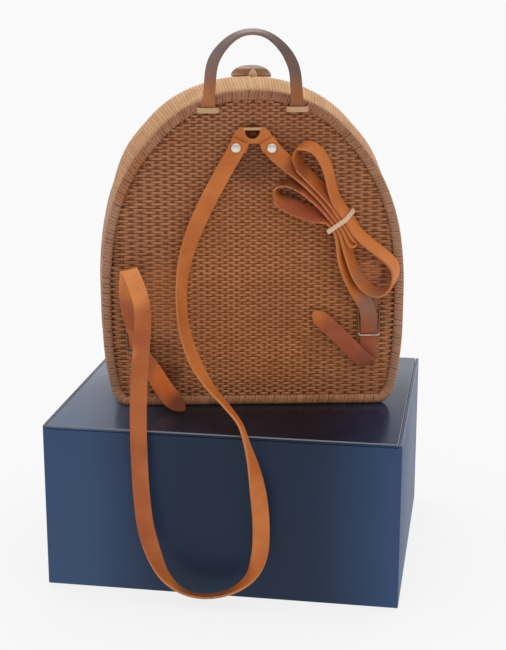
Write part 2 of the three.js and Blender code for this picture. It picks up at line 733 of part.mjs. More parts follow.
add('back_panel', panel(false), FINISH.weave);
add('back_rim', rim(false), FINISH.cane);
add('gusset', gusset(), FINISH.cane);
add('front_rim', rim(true), FINISH.cane);
add('front_panel', panel(true), FINISH.weave);
const handleFoot = { width: HANDLE_FOOT_WIDTH, length: HANDLE_FOOT_LENGTH };
const handleBand = ribbon(HANDLE, HANDLE_WIDTH, HANDLE_THICK, { step: HANDLE_STEP, flare: handleFoot });
add('handle', handleBand, FINISH.handle);
for (const [name, row] of Object.entries(STAPLES)) {
  add(name, staple(row), FINISH.cane);
}
add('strap_yoke', yokePlate(), FINISH.leather);
add('yoke_bar', yokeBar(), FINISH.cane);
for (const [name, row] of Object.entries(RIVETS)) {
  add(name, rivet(row), FINISH.metal);
}
const leftTail = { tip: TAIL_TIP_LENGTH, tail: { spread: TAIL_SPREAD, length: TAIL_LENGTH } };
add('strap_left', ribbon(STRAP_LEFT, STRAP_WIDTH, STRAP_THICK, leftTail), FINISH.leather);
add('strap_right', ribbon(STRAP_RIGHT, STRAP_WIDTH, STRAP_THICK, { tip: TIP_LENGTH }), FINISH.leather);
add('strap_tie', tie(), FINISH.tie);
for (const [side, row] of Object.entries(BUCKLES)) {
  add(`buckle_${side}`, buckle(row), FINISH.metal);
  add(`anchor_tab_${side}`, anchorTab(row), FINISH.leather);
}
add('clasp_bridge', ribbon(CLASP, CLASP_WIDTH, CLASP_THICK, { step: CLASP_STEP }), FINISH.handle);
add('clasp_peg', peg(), FINISH.cane);
add('box_tray', boxTray(), FINISH.box);
add('box_lid', boxLid(), FINISH.box);

export default part;
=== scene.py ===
# %% [markdown]
# # A woven cane backpack on its box
#
# The object is a stiff dome-shaped backpack of woven cane, seen from its strap side. It stands on a
# closed board box. One leather strap hangs in a long loop over the box's front edge, and the other is
# gathered under a pale tie. The CAD model already holds every piece at its right size and place, so this
# lesson dresses it: strands are woven for the panels, and leather, cane, metal and board get their finish.

# %% Load the frame
import math

import bmesh
import bpy
import numpy as np
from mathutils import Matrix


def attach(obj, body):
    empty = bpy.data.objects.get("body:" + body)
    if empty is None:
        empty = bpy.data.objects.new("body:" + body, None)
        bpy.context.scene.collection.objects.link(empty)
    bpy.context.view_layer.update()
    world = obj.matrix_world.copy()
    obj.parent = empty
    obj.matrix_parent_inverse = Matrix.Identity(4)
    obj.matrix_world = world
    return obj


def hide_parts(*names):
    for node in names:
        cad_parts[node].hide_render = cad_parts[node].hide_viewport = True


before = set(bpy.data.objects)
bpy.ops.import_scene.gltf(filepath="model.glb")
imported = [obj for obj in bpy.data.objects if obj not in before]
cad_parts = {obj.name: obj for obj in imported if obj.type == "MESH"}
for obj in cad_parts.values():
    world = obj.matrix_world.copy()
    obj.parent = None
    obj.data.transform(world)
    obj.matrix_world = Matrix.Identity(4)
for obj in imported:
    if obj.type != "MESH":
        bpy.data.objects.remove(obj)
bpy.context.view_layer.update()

print("CAD nodes:", len(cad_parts))

# %% [markdown]
# ## Camera
#
# The picture was taken from a little above the handle, about 1.2 m in front of the bag. A camera can be
# matched by eye, but the box has straight edges in three directions, and their vanishing points give the
# focal length and the tilt directly. The lens below is for the tall side of the picture.

# %% Camera
lens = bpy.data.cameras.new("camera")
lens.lens = 78.65
lens.sensor_width = 36.0
lens.clip_start = 0.01
camera = bpy.data.objects.new("camera", lens)
camera.location = (-0.03619, -1.2655, 0.555)
camera.rotation_euler = (math.radians(74.8), 0.0, math.radians(-2.0))
bpy.context.scene.collection.objects.link(camera)
bpy.context.scene.camera = camera
print("camera at", tuple(camera.location))

# %% [markdown]
# ## Shader sums
#
# Finishes are made of nodes. Wiring Math nodes one by one is slow to read, so a small class wraps a socket
# and lets Python's own signs add the nodes. A second class holds one material and makes every other node.

# %% Sockets that can be added and multiplied
def plug(tree, place, value):
    """Link a wire to a socket, or set the socket to a plain value."""
    if isinstance(value, Wire):
        tree.links.new(value.socket, place)
    else:
        place.default_value = value


class Wire:
    """An output socket. Each sum with it adds one Math node."""

    def __init__(self, tree, socket):
        self.tree = tree
        self.socket = socket

    def sums(self, operation, first, second):
        step = self.tree.nodes.new("ShaderNodeMath")
        step.operation = operation
        plug(self.tree, step.inputs[0], first)
        plug(self.tree, step.inputs[1], second)
        return Wire(self.tree, step.outputs[0])

    def __add__(self, other):
        return self.sums("ADD", self, other)

    def __radd__(self, other):
        return self.sums("ADD", other, self)

    def __sub__(self, other):
        return self.sums("SUBTRACT", self, other)

    def __rsub__(self, other):
        return self.sums("SUBTRACT", other, self)

    def __mul__(self, other):
        return self.sums("MULTIPLY", self, other)

    def __rmul__(self, other):
        return self.sums("MULTIPLY", other, self)

    def __abs__(self):
        return self.sums("ABSOLUTE", self, 0.0)


print("socket sums ready")

# %% A material and its nodes
class Finish:
    """One material or world. node() makes any node; set() feeds the shader."""

    def __init__(self, name, kind="materials", shader="Principled BSDF", **steady):
        self.block = getattr(bpy.data, kind).new(name)
        self.block.use_nodes = True
        self.tree = self.block.node_tree
        self.surface = self.tree.nodes[shader]
        for socket, value in steady.items():
            self.surface.inputs[socket.replace("_", " ")].default_value = value

    def node(self, kind, settings=None, values=None, out=0):
        made = self.tree.nodes.new(kind)
        for name, value in (settings or {}).items():
            setattr(made, name, value)
        for name, value in (values or {}).items():
            plug(self.tree, made.inputs[name], value)
        return Wire(self.tree, made.outputs[out])

    def set(self, socket, value):
        plug(self.tree, self.surface.inputs[socket], value)

    def own(self, attribute):
        """A value that the mesh stores on its points."""
        return self.node("ShaderNodeAttribute", {"attribute_name": attribute}, out="Fac")

    def place(self):
        return self.node("ShaderNodeTexCoord", out="Object")

    def noise(self, scale, stretch=(1, 1, 1), detail=3.0):
        spot = self.node("ShaderNodeMapping", {}, {"Vector": self.place(), "Scale": stretch})
        return self.node("ShaderNodeTexNoise", {}, {"Vector": spot, "Scale": scale, "Detail": detail})

    def between(self, value, low, high):
        """0 below low, 1 above high, and a soft step between them."""
        limits = {"Value": value, "From Min": low, "From Max": high}
        return self.node("ShaderNodeMapRange", {"interpolation_type": "SMOOTHSTEP"}, limits)

    def mix(self, factor, first, second, how="MIX"):
        settings = {"data_type": "RGBA", "blend_type": how}
        return self.node("ShaderNodeMix", settings, {0: factor, 6: first, 7: second}, out=2)

    def bump(self, height, distance, strength=1.0):
        values = {"Height": height, "Distance": distance, "Strength": strength}
        self.set("Normal", self.node("ShaderNodeBump", {}, values))


def tone(red, green, blue):
    """A screen colour, 0 to 255, as the linear values that shaders use, by the sRGB curve."""
    linear = []
    for part in (red / 255, green / 255, blue / 255):
        linear.append(part / 12.92 if part <= 0.04045 else ((part + 0.055) / 1.055) ** 2.4)
    return (*linear, 1.0)


def axis(finish, letter):
    """The object coordinate X, Y or Z."""
    return finish.node("ShaderNodeSeparateXYZ", {}, {0: finish.place()}, out=letter)


PATCH_CORE = 0.45  # share of a painted patch's radius that is fully covered
THROUGH, ROUND, TALL = (1.0, 0.0, 1.0), (1.0, 1.0, 1.0), (1.0, 1.0, 0.5)


def painted_patch(finish, dye, spot, radius, colour, along=THROUGH, strength=1.0):
    """Lay a soft patch of painted light or shade over a dye. A small number in along makes it longer that
    way, a zero endless.
    """
    away = finish.node("ShaderNodeVectorMath", {"operation": "SUBTRACT"}, {0: finish.place(), 1: spot})
    away = finish.node("ShaderNodeVectorMath", {"operation": "MULTIPLY"}, {0: away, 1: along})
    far = finish.node("ShaderNodeVectorMath", {"operation": "LENGTH"}, {0: away}, out="Value")
    cover = 1 - finish.between(far, PATCH_CORE * radius, radius)
    return finish.mix(strength * cover, dye, tone(*colour))


print("material maker ready")

# %% [markdown]
# ## Floor and light
#
# The picture looks as if it was taken in a white light tent: the ground and the back are one even white,
# more light comes from above and behind than from the camera's side, and there are hardly any shadows.
# Lamps could be placed one by one, but a world whose brightness depends on the direction is the tent
# itself. One soft sun from above and behind adds the bright skin on the dome's top and the handle.

# %% Floor
def only(thing):
    """Select one object alone and make it the active one."""
    if bpy.context.mode != "OBJECT":
        bpy.ops.object.mode_set(mode="OBJECT")
    bpy.ops.object.select_all(action="DESELECT")
    thing.select_set(True)
    bpy.context.view_layer.objects.active = thing


FLOOR_SIZE = 80.0
bpy.ops.mesh.primitive_plane_add(size=FLOOR_SIZE, location=(0.0, 0.0, 0.0))
floor = bpy.context.active_object
floor.name = "floor"
paper = Finish("pale_floor", Roughness=0.9, Specular_IOR_Level=0.0, Emission_Strength=0.81)
paper.set("Base Color", paper.mix(paper.noise(3.0), tone(98, 98, 98), tone(102, 102, 102)))
paper.set("Roughness", 0.85 + 0.1 * paper.noise(40.0))
floor.data.materials.append(paper.block)
print("floor laid at z = 0")

# %% Tent and sun
tent = Finish("light_tent", "worlds", "Background", Color=(1.0, 1.0, 1.0, 1.0))
direction = tent.node("ShaderNodeTexCoord", out="Generated")
behind = tent.between(tent.node("ShaderNodeSeparateXYZ", {}, {0: direction}, out="Y"), -0.5, 0.6)
above = tent.between(tent.node("ShaderNodeSeparateXYZ", {}, {0: direction}, out="Z"), 0.2, 1.0)
FROM_ALL_SIDES, FROM_BEHIND, FROM_ABOVE = 0.5, 0.42, 0.45
tent.set("Strength", FROM_ALL_SIDES + FROM_BEHIND * behind + FROM_ABOVE * above)
bpy.context.scene.world = tent.block
bpy.context.scene.view_settings.view_transform = "Standard"

rays = bpy.data.lights.new("soft_sun", "SUN")
rays.energy = 0.5
rays.angle = math.radians(50.0)
sun = bpy.data.objects.new("soft_sun", rays)
sun.rotation_euler = (math.radians(-20.0), math.radians(8.0), 0.0)
bpy.context.scene.collection.objects.link(sun)

# %% [markdown]
# ## Working from the CAD solids
#
# Straps, rims, buckles and the box are already the right shape in the CAD, only faceted. Each could be
# drawn again, but a copy keeps it exactly where its neighbours are. A copy's loose triangles are merged and
# turned back into quads, so that bevels and subdivision run along the piece as they would on a drawn one.

# %% Helpers for copies
MERGE_DISTANCE = 1e-5


def merged_copy(node, name):
    """A copy of a CAD solid as one mesh of quads."""
    piece = bpy.data.objects.new(name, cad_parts[node].data.copy())
    bpy.context.scene.collection.objects.link(piece)
    piece.data.materials.clear()
    only(piece)
    if piece.data.has_custom_normals:
        bpy.ops.mesh.customdata_custom_splitnormals_clear()
    bpy.ops.object.mode_set(mode="EDIT")
    bpy.ops.mesh.select_all(action="SELECT")
    bpy.ops.mesh.remove_doubles(threshold=MERGE_DISTANCE)
    bpy.ops.mesh.tris_convert_to_quads(face_threshold=math.pi, shape_threshold=math.pi)
    bpy.ops.object.mode_set(mode="OBJECT")
    return piece


def modify(piece, kind, **settings):
    """Add a modifier, set it and apply it."""
    only(piece)
    step = piece.modifiers.new(kind.title(), kind)
    for name, value in settings.items():
        setattr(step, name, value)
    bpy.ops.object.modifier_apply(modifier=step.name)


def smooth(piece, degrees=None):
    """Shade smoothly, everywhere or only across edges that turn by less than some degrees."""
    only(piece)
    if degrees is None:
        bpy.ops.object.shade_smooth()
    else:
        bpy.ops.object.shade_smooth_by_angle(angle=math.radians(degrees))


def keep(piece, slot, *nodes):
    """Hand a finished piece to the frame in place of its CAD solids."""
    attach(piece, "root")
    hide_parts(*nodes)
    piece.data.calc_loop_triangles()
    print(piece.name, "triangles", len(piece.data.loop_triangles))


def joined(piece, other):
    """Make two objects one, under the first one's name."""
    only(piece)
    other.select_set(True)
    bpy.ops.object.join()
    return piece


print("helpers ready")

# %% [markdown]
# ## The dome's outline
#
# Panels, rims and wall all follow one outline: flat at the foot, a little wider at mid height and round at
# the top. It is kept as the same short table of half widths and heights that the CAD uses, and drawn
# through with a smooth closed curve, so strands can end exactly at the binding.

# %% Outline
BAG_X, BAG_FOOT, BACK_Y, BAG_HEIGHT = 0.0066, 0.1493, -0.0465, 0.281
DEPTH_FOOT, DEPTH_TOP, FRONT_SCALE, FRONT_SHIFT = 0.104, 0.090, 0.997, -0.006
RIM_WIDTH, RIM_DEPTH = 0.008, 0.009
OUTLINE_POINTS, SPAN_STEPS = 600, 40
HALF_DOME = np.array([
    (0, 0), (55, 0), (106, 0), (117, 1.2), (124.5, 8.5), (128.6, 21.5), (131.6, 42), (133.2, 62),
    (133.6, 95), (133.4, 117), (131.6, 140), (128.4, 161), (123.4, 180), (117.4, 196), (108.8, 213),
    (98, 229), (86, 243), (73, 256), (57, 267), (37, 275.6), (18, 280), (0, 281),
]) / 1000


def dome_outline(count):
    """Evenly spaced points of the outline, the way inwards at each, and the whole length."""
    # A centripetal Catmull-Rom curve: each span runs from b to c, and a and d are the knots around it.
    knots = np.vstack([HALF_DOME, HALF_DOME[-2:0:-1] * (-1, 1)])
    a, b, c, d = (np.roll(knots, shift, 0) for shift in (1, 0, -1, -2))
    spans = ((a, b), (b, c), (c, d))
    ab, bc, cd = (np.sqrt(np.linalg.norm(end - start, axis=1))[:, None] for start, end in spans)
    leave = ((b - a) / ab - (c - a) / (ab + bc) + (c - b) / bc) * bc
    reach = ((c - b) / bc - (d - b) / (bc + cd) + (d - c) / cd) * bc
    t = np.linspace(0, 1, SPAN_STEPS, endpoint=False)[:, None, None]
    line = (2 * t**3 - 3 * t**2 + 1) * b + (t**3 - 2 * t**2 + t) * leave
    line = line + (3 * t**2 - 2 * t**3) * c + (t**3 - t**2) * reach
    line = line.transpose(1, 0, 2).reshape(-1, 2)
    line = np.vstack([line, line[:1]])
    run = np.r_[0, np.cumsum(np.linalg.norm(np.diff(line, axis=0), axis=1))]
    at = np.linspace(0, run[-1], count, endpoint=False)
    x, z = (np.interp(at, run, line[:, column]) for column in (0, 1))
    points = np.stack([x, np.maximum(z, 0)], 1)
    way = np.roll(points, -1, 0) - np.roll(points, 1, 0)
    inward = np.stack([-way[:, 1], way[:, 0]], 1) / np.linalg.norm(way, axis=1)[:, None]
    return points, inward, run[-1]


def bag_point(flat, depth, front):
    """Points of the bag from places in the outline's plane and depths behind its outer face."""
    scale, shift = (FRONT_SCALE, FRONT_SHIFT) if front else (1.0, 0.0)
    x, z = flat[..., 0] * scale + shift, flat[..., 1] * scale
    y = BACK_Y + depth
    if front:
        y = BACK_Y + DEPTH_FOOT - (DEPTH_FOOT - DEPTH_TOP) * z / BAG_HEIGHT - depth
    return np.stack(np.broadcast_arrays(BAG_X + x, y, BAG_FOOT + z), -1)


print("outline length", round(dome_outline(OUTLINE_POINTS)[2], 4), "m")

# %% [markdown]
# ## Woven panels
#
# Each panel is a plain weave: flat cane weavers run across it, over one upright stake and under the next,
# and each row starts the other way. A bump map could fake it, but the dark eyes between the strands are
# real holes with shade in them, so the strands are modelled. There are thousands of crossings, which no
# one would draw by hand, so the strands are laid out with number arrays as thin five-sided tubes.
# The stakes stand closer in the middle than near the binding.

# %% Strands from arrays
def strand_mesh(name, runs, section):
    """One mesh of many closed strands. A run holds middles, side way, outward way, rise and tint."""
    points, faces, rises, tints = [], [], [], []
    count, first = len(section), 0
    turn = np.roll(np.arange(count), -1)
    for middles, side, out, rise, tint in runs:
        across, proud = section[:, :1] * side[:, None, :], section[:, 1:] * out[:, None, :]
        rings = middles[:, None, :] + across + proud
        base = first + np.arange(len(middles) - 1)[:, None] * count
        here, there = base + np.arange(count), base + turn
        faces += np.stack([here, here + count, there + count, there], -1).reshape(-1, 4).tolist()
        last = first + (len(middles) - 1) * count
        faces += [list(range(first, first + count)), list(range(last, last + count))]
        points.append(rings.reshape(-1, 3))
        rises.append(np.repeat(rise, count))
        tints.append(np.full(len(middles) * count, tint))
        first = last + count
    mesh = bpy.data.meshes.new(name)
    mesh.from_pydata(np.vstack(points).tolist(), [], faces)
    for label, values in (("rise", rises), ("tint", tints)):
        mesh.attributes.new(label, "FLOAT", "POINT").data.foreach_set("value", np.concatenate(values))
    piece = bpy.data.objects.new(name, mesh)
    bpy.context.scene.collection.objects.link(piece)
    only(piece)
    bpy.ops.object.mode_set(mode="EDIT")
    bpy.ops.mesh.select_all(action="SELECT")
    bpy.ops.mesh.normals_make_consistent(inside=False)
    bpy.ops.object.mode_set(mode="OBJECT")
    smooth(piece)
    return piece


def crossing(loop, column, value):
    """Lowest and highest place where a closed outline crosses a line of the panel's plane."""
    a, b = loop, np.roll(loop, -1, 0)
    cut = (a[:, column] - value) * (b[:, column] - value) < 0
    a, b = a[cut], b[cut]
    share = (value - a[:, column]) / (b[:, column] - a[:, column])
    other = a[:, 1 - column] + share * (b[:, 1 - column] - a[:, 1 - column])
    return other.min(), other.max()


print("strand maker ready")

# %% Lay of the weave
ROW_PITCH, FIRST_ROW, LAST_ROW = 0.00245, 0.6, 0.3  # the rows' margins are shares of the pitch
STAKE_PITCH, STAKE_FAN = 0.0049, 0.125
STAKES_EACH_SIDE, STAKE_MARGIN, STAKE_POINTS, STAKE_RISE = 20, 0.003, 26, 0.1
WEAVER_HALF, WEAVER_THICK, STAKE_RADIUS = 0.00123, 0.0009, 0.00072
PANEL_SINK, PANEL_CROWN, PANEL_GAP = 0.002, 0.0056, 0.0001
SWING = STAKE_RADIUS + WEAVER_THICK / 2
MIDDLE = np.array((0.0, BAG_HEIGHT * 0.46))  # where the panel crowns most

# A weaver from the stake it dips behind (0) to the next one, which it covers (1): its swing and its width.
WAVE_AT, WAVE_SWING, WAVE_WIDTH = (0, 0.22, 0.5, 1), (-1, 0, 0.8, 1), (1.0, 1.04, 1.02, 0.8)
AFTER_DIP, BEFORE_DIP = (0, 0.22, 0.5), (0, 0.5, 0.78)  # points of a weaver past each stake
WIDTH_SPREAD = (0.94, 1.04)
WANDER, WANDER_TURN, JITTER, FULL_TURN = 0.00016, 0.9, 0.00005, 6.28
OFF_THE_KNOTS = 1e-6  # keeps a stake's line clear of the outline's own points
STRAND_SECTION = np.array([(-1, 0.12), (-0.7, 0.5), (0.7, 0.5), (1, 0.12), (0, -0.5)])

edge, edge_in, _ = dome_outline(OUTLINE_POINTS)
inner_edge = edge + edge_in * (RIM_WIDTH + PANEL_GAP)
bearing = np.arctan2(*(inner_edge - MIDDLE).T[::-1])
reach_out = np.linalg.norm(inner_edge - MIDDLE, axis=1)


def panel_depth(flat):
    """Depth of the panel's outer face: it crowns outwards towards the middle."""
    from_middle = flat - MIDDLE
    heading = np.arctan2(from_middle[:, 1], from_middle[:, 0])
    whole = np.interp(heading, bearing, reach_out, period=2 * math.pi)
    share = np.linalg.norm(from_middle, axis=1) / whole
    return PANEL_SINK - PANEL_CROWN * (1 - share**2)


def stake_x(index):
    """Where a stake stands. The stakes are closest in the middle."""
    return STAKE_FAN * np.tan(index * STAKE_PITCH / STAKE_FAN)


def stake_index(x):
    """The stake number at a place, with parts of a step."""
    return STAKE_FAN / STAKE_PITCH * np.arctan(x / STAKE_FAN)


def weave_panel(name, node, front, seed):
    """A panel of weavers and stakes, with its CAD solid moved in behind them as a lining."""
    rng = np.random.default_rng(seed)
    face = np.array((0.0, 1.0 if front else -1.0, 0.0))
    up = np.array((0.0, 0.0, 1.0))
    mid_depth = SWING + WEAVER_THICK / 2
    runs = []
    low, high = inner_edge[:, 1].min(), inner_edge[:, 1].max()
    rows = np.arange(low + ROW_PITCH * FIRST_ROW, high - ROW_PITCH * LAST_ROW, ROW_PITCH)
    for number, height in enumerate(rows):
        left, right = (stake_index(x) for x in crossing(inner_edge, 1, height))
        stakes = np.arange(math.ceil(left), math.floor(right) + 1)
        behind = (stakes + number) % 2 == 1
        steps = np.where(behind[:, None], AFTER_DIP, BEFORE_DIP)
        index = np.unique(np.clip(np.r_[left, (stakes[:, None] + steps).ravel(), right], left, right))
        from_dip = abs((index + number) % 2 - 1)
        wave = np.interp(from_dip, WAVE_AT, WAVE_SWING)
        wander = WANDER * np.sin(index * WANDER_TURN + rng.uniform(0, FULL_TURN))
        wander = wander + rng.normal(0, JITTER, len(index))
        flat = np.stack([stake_x(index), height + wander], 1)
        middles = bag_point(flat, panel_depth(flat) + mid_depth, front) + face * (SWING * wave)[:, None]
        wide = np.interp(from_dip, WAVE_AT, WAVE_WIDTH) * rng.uniform(*WIDTH_SPREAD, len(index))
        out = np.tile(face, (len(index), 1))
        runs.append((middles, up * wide[:, None], out, (wave + 1) / 2, rng.uniform()))
    weavers = len(runs)
    for number in range(-STAKES_EACH_SIDE, STAKES_EACH_SIDE + 1):
        x = float(stake_x(number)) + OFF_THE_KNOTS
        if abs(x) > inner_edge[:, 0].max() - STAKE_MARGIN:
            continue
        heights = np.linspace(*crossing(inner_edge, 0, x), STAKE_POINTS)
        flat = np.stack([np.full(STAKE_POINTS, x), heights], 1)
        middles = bag_point(flat, panel_depth(flat) + mid_depth, front)
        side, out = (np.tile(way, (STAKE_POINTS, 1)) for way in ((1.0, 0.0, 0.0), face))
        runs.append((middles, side, out, np.full(STAKE_POINTS, STAKE_RISE), rng.uniform()))
    print(name, "weavers", weavers, "stakes", len(runs) - weavers)
    panel = strand_mesh(name, runs, STRAND_SECTION * (WEAVER_HALF, WEAVER_THICK))
    lining = merged_copy(node, name + "_lining")
    bpy.ops.object.mode_set(mode="EDIT")
    bpy.ops.mesh.select_all(action="SELECT")
    bpy.ops.transform.translate(value=tuple(face * -2 * mid_depth))
    bpy.ops.object.mode_set(mode="OBJECT")
    return joined(panel, lining)


print("rows about", round(BAG_HEIGHT / ROW_PITCH))

# %% [markdown]
# The cane is honey brown. The mesh stores how far out each point of a strand stands, so the colour can
# follow it: a painted highlight where a strand stands proud, and painted shade where it dips behind a
# stake, darkest on the lining behind, which stores no rise. The middle of the panel is painted with warm
# light, and the cane greys away from it towards the binding. Each strand also has its own tint, because no
# two strips of cane are the same, and fine fibres run along it.

# %% Woven cane finish
weave = Finish("woven_cane", Roughness=0.6, Specular_IOR_Level=0.22)
PAINTED_WARM_LIGHT = (0.02, 0.0, 0.26)  # painted warm light is centred here; the cane greys away from it, towards the binding
away = weave.node("ShaderNodeVectorMath", {"operation": "SUBTRACT"}, {0: weave.place(), 1: PAINTED_WARM_LIGHT})
far = weave.node("ShaderNodeVectorMath", {"operation": "LENGTH"}, {0: away}, out="Value")
painted_light_falloff = weave.between(far + 0.05 * weave.noise(14.0), 0.095, 0.168)
patch = weave.between(weave.noise(30.0, detail=2.0), 0.35, 0.7)
uneven = weave.noise(260.0, detail=1.0)
proud = weave.own("rise") + 0.5 * (uneven - 0.5)
mid = weave.mix(weave.own("tint"), tone(184, 112, 66), tone(198, 128, 80))
mid = weave.mix(0.8 * painted_light_falloff, mid, tone(170, 115, 83))
painted_crest_highlight = weave.mix(0.8 * painted_light_falloff, tone(214, 148, 98), tone(190, 137, 105))
# Painted highlight on the crests that stand proud, and painted shade below where the strands dip behind a
# stake.
honey = weave.mix(weave.between(proud, 0.8, 1.1), mid, painted_crest_highlight)
honey = weave.mix(0.5 * patch, honey, tone(172, 108, 68))
fibre = weave.noise(900.0, (0.12, 1.0, 1.0), 2.0)
shade = weave.mix(weave.between(proud, 0.05, 0.5), tone(140, 80, 44), honey)
# Painted light: the weave is made lighter towards the bag's foot.
foot = 1 - weave.between(axis(weave, "Z"), 0.165, 0.25)
shade = weave.mix(foot, shade, (1.27, 1.26, 1.18, 1.0), "MULTIPLY")
# Painted shade and light on the strap side: place, radius, colour, reach and strength. Painted shade
# darkens the cane in the yoke's opening and under the yoke, beside the left strap's tail and in the right
# strap's small loop. Painted light makes it paler between the left strap's two limbs and in the right
# strap's lower loop.
for painted_mark in (
    ((0.0057, -0.047, 0.3945), 0.011, (96, 48, 24), ROUND, 1.0),
    ((0.0066, -0.047, 0.369), 0.027, (104, 62, 42), ROUND, 0.6),
    ((-0.0757, -0.049, 0.2), 0.016, (104, 62, 38), ROUND, 0.35),
    ((-0.067, -0.049, 0.1805), 0.014, (104, 60, 34), ROUND, 0.6),
    ((0.0428, -0.048, 0.345), 0.012, (84, 48, 28), ROUND, 0.5),
    ((-0.073, -0.048, 0.247), 0.024, (226, 152, 100), TALL, 0.45),
    ((0.1088, -0.048, 0.2706), 0.015, (240, 164, 112), ROUND, 0.6),
):
    shade = painted_patch(weave, shade, *painted_mark)
weave.set("Base Color", weave.mix(0.25 * fibre, shade, tone(140, 82, 46)))
weave.set("Roughness", 0.5 + 0.25 * fibre)
weave.bump(fibre, 0.0002, 0.5)

back_panel = weave_panel("back_panel_weave", "back_panel", front=False, seed=11)
front_panel = weave_panel("front_panel_weave", "front_panel", front=True, seed=12)
for panel, node in ((back_panel, "back_panel"), (front_panel, "front_panel")):
    panel.data.materials.append(weave.block)
    keep(panel, "panel_weave", node)

# %% [markdown]
# ## Lashed rims
#
# Each panel is held by a round-edged rim that is wrapped in narrow cane, turn beside turn. A striped bump
# would give the same colour, but the turns also break the outline a little, so they are modelled: the CAD
# rim stays as the core, and several hundred short strands bend over its section and are joined to it.

# %% Turns of cane round a rim
RIM_POINTS = 2000
TURN_PITCH, TURN_LEAN, TURN_JITTER = 0.0029, 0.45, 0.06  # lean and jitter are shares of the pitch
STRIP_SIZE = (0.00152, 0.0006)
TURN_SECTION = np.array([(-1, 0.14), (-0.62, 0.5), (0.0, 0.62), (0.62, 0.5), (1, 0.14)]) * STRIP_SIZE
# The way of a turn over the rim's section: how far inwards from the outline, and how deep.
TURN_PATH = np.array([(-0.1, 7.6), (-0.15, 3.2), (0.25, 1.2), (1.4, 0.1), (3.0, -0.2), (5.2, -0.2),
                      (6.7, 0.2), (7.8, 1.5), (8.1, 3.4)]) / 1000


def rim_turns(name, front, seed):
    """Short strands that bend over a rim, side by side all the way round it."""
    rng = np.random.default_rng(seed)
    line, inward, whole = dome_outline(RIM_POINTS)
    count = round(whole / TURN_PITCH)
    way = np.gradient(TURN_PATH, axis=0)
    off = np.stack([way[:, 1], -way[:, 0]], 1) / np.linalg.norm(way, axis=1)[:, None]
    back = -1.0 if front else 1.0
    lean = np.linspace(-TURN_LEAN, TURN_LEAN, len(TURN_PATH))
    runs = []
    for turn in range(count):
        places = (turn + lean + rng.normal(0, TURN_JITTER)) * RIM_POINTS / count
        spots = places.astype(int) % RIM_POINTS
        way_in = inward[spots]
        middles = bag_point(line[spots] + way_in * TURN_PATH[:, :1], TURN_PATH[:, 1], front)
        side = np.stack([-way_in[:, 1], np.zeros(len(spots)), way_in[:, 0]], 1)
        out = np.stack([way_in[:, 0] * off[:, 0], back * off[:, 1], way_in[:, 1] * off[:, 0]], 1)
        runs.append((middles, side, out, np.ones(len(spots)), rng.uniform()))
    print(name, "turns", count)
    return strand_mesh(name, runs, TURN_SECTION)


lashing = Finish("lashed_cane", Roughness=0.5, Specular_IOR_Level=0.3)
mottle = lashing.between(lashing.noise(90.0, detail=5.0), 0.38, 0.64)
umber = lashing.mix(lashing.own("tint"), tone(166, 114, 80), tone(186, 134, 100))
umber = lashing.mix(0.55 * mottle, umber, tone(144, 96, 68))
sides = lashing.between(abs(axis(lashing, "X") - BAG_X), 0.085, 0.125)
umber = lashing.mix(0.6 * sides, umber, tone(186, 142, 116))
# Painted light: the lashing is made much paler along the bag's foot.
foot = 1 - lashing.between(axis(lashing, "Z"), 0.153, 0.17)
umber = lashing.mix(foot, umber, (1.55, 1.5, 1.4, 1.0), "MULTIPLY")
fibre = lashing.noise(700.0, (0.5, 0.5, 0.5), 4.0)
# Painted shade: a darker, more orange patch on the rim at the upper left.
umber = painted_patch(lashing, umber, (-0.104, -0.047, 0.36), 0.036, (172, 106, 60), ROUND, 0.7)
# The core stores no rise, which reads as 0, so it keeps a darker tone between the turns.
turned = lashing.mix(lashing.own("rise"), tone(146, 100, 72), umber)
lashing.set("Base Color", lashing.mix(0.35 * fibre, turned, tone(130, 82, 52)))
lashing.set("Roughness", 0.42 + 0.25 * fibre)
lashing.bump(fibre, 0.0002, 0.5)

# %% Rims
for node, front, seed in (("back_rim", False, 31), ("front_rim", True, 32)):
    rim = merged_copy(node, node + "_core")
    smooth(rim, 40)
    turns = rim_turns(node + "_turns", front, seed)
    for part in (rim, turns):
        part.data.materials.append(lashing.block)
    joined(rim, turns).name = node + "_lashed"
    keep(rim, "cane_trim", node)

# %% [markdown]
# ## Ribbed wall
#
# Between the rims the wall shows close fine ribs that run from the back of the bag to its front. The CAD
# wall stays as the ground under them, and the ribs are strands laid side by side on it with the same helper
# as the weave, then joined to it.

# %% Wall
RIB_PITCH, RIB_STOPS = 0.0027, 11
RIB_SECTION = np.array([(-1, 0.34), (-0.6, 0.5), (0.0, 0.56), (0.6, 0.5), (1, 0.34)]) * STRIP_SIZE
GUSSET_SINK = 0.0014
# Heights above the bag's foot, and how far the wall stands out there.
SWELL = np.array([(15, 0), (70, 3), (180, 2.8), (232, 9), (262, 9.5)]) / 1000


def wall_swell(height):
    """How far the wall stands out halfway between the rims, at a height above the bag's foot."""
    row = int(np.clip(np.searchsorted(SWELL[:, 0], height) - 1, 0, len(SWELL) - 2))
    (low, start), (high, end) = SWELL[row], SWELL[row + 1]
    share = float(np.clip((height - low) / (high - low), 0, 1))
    return start + (end - start) * share * share * (3 - 2 * share)


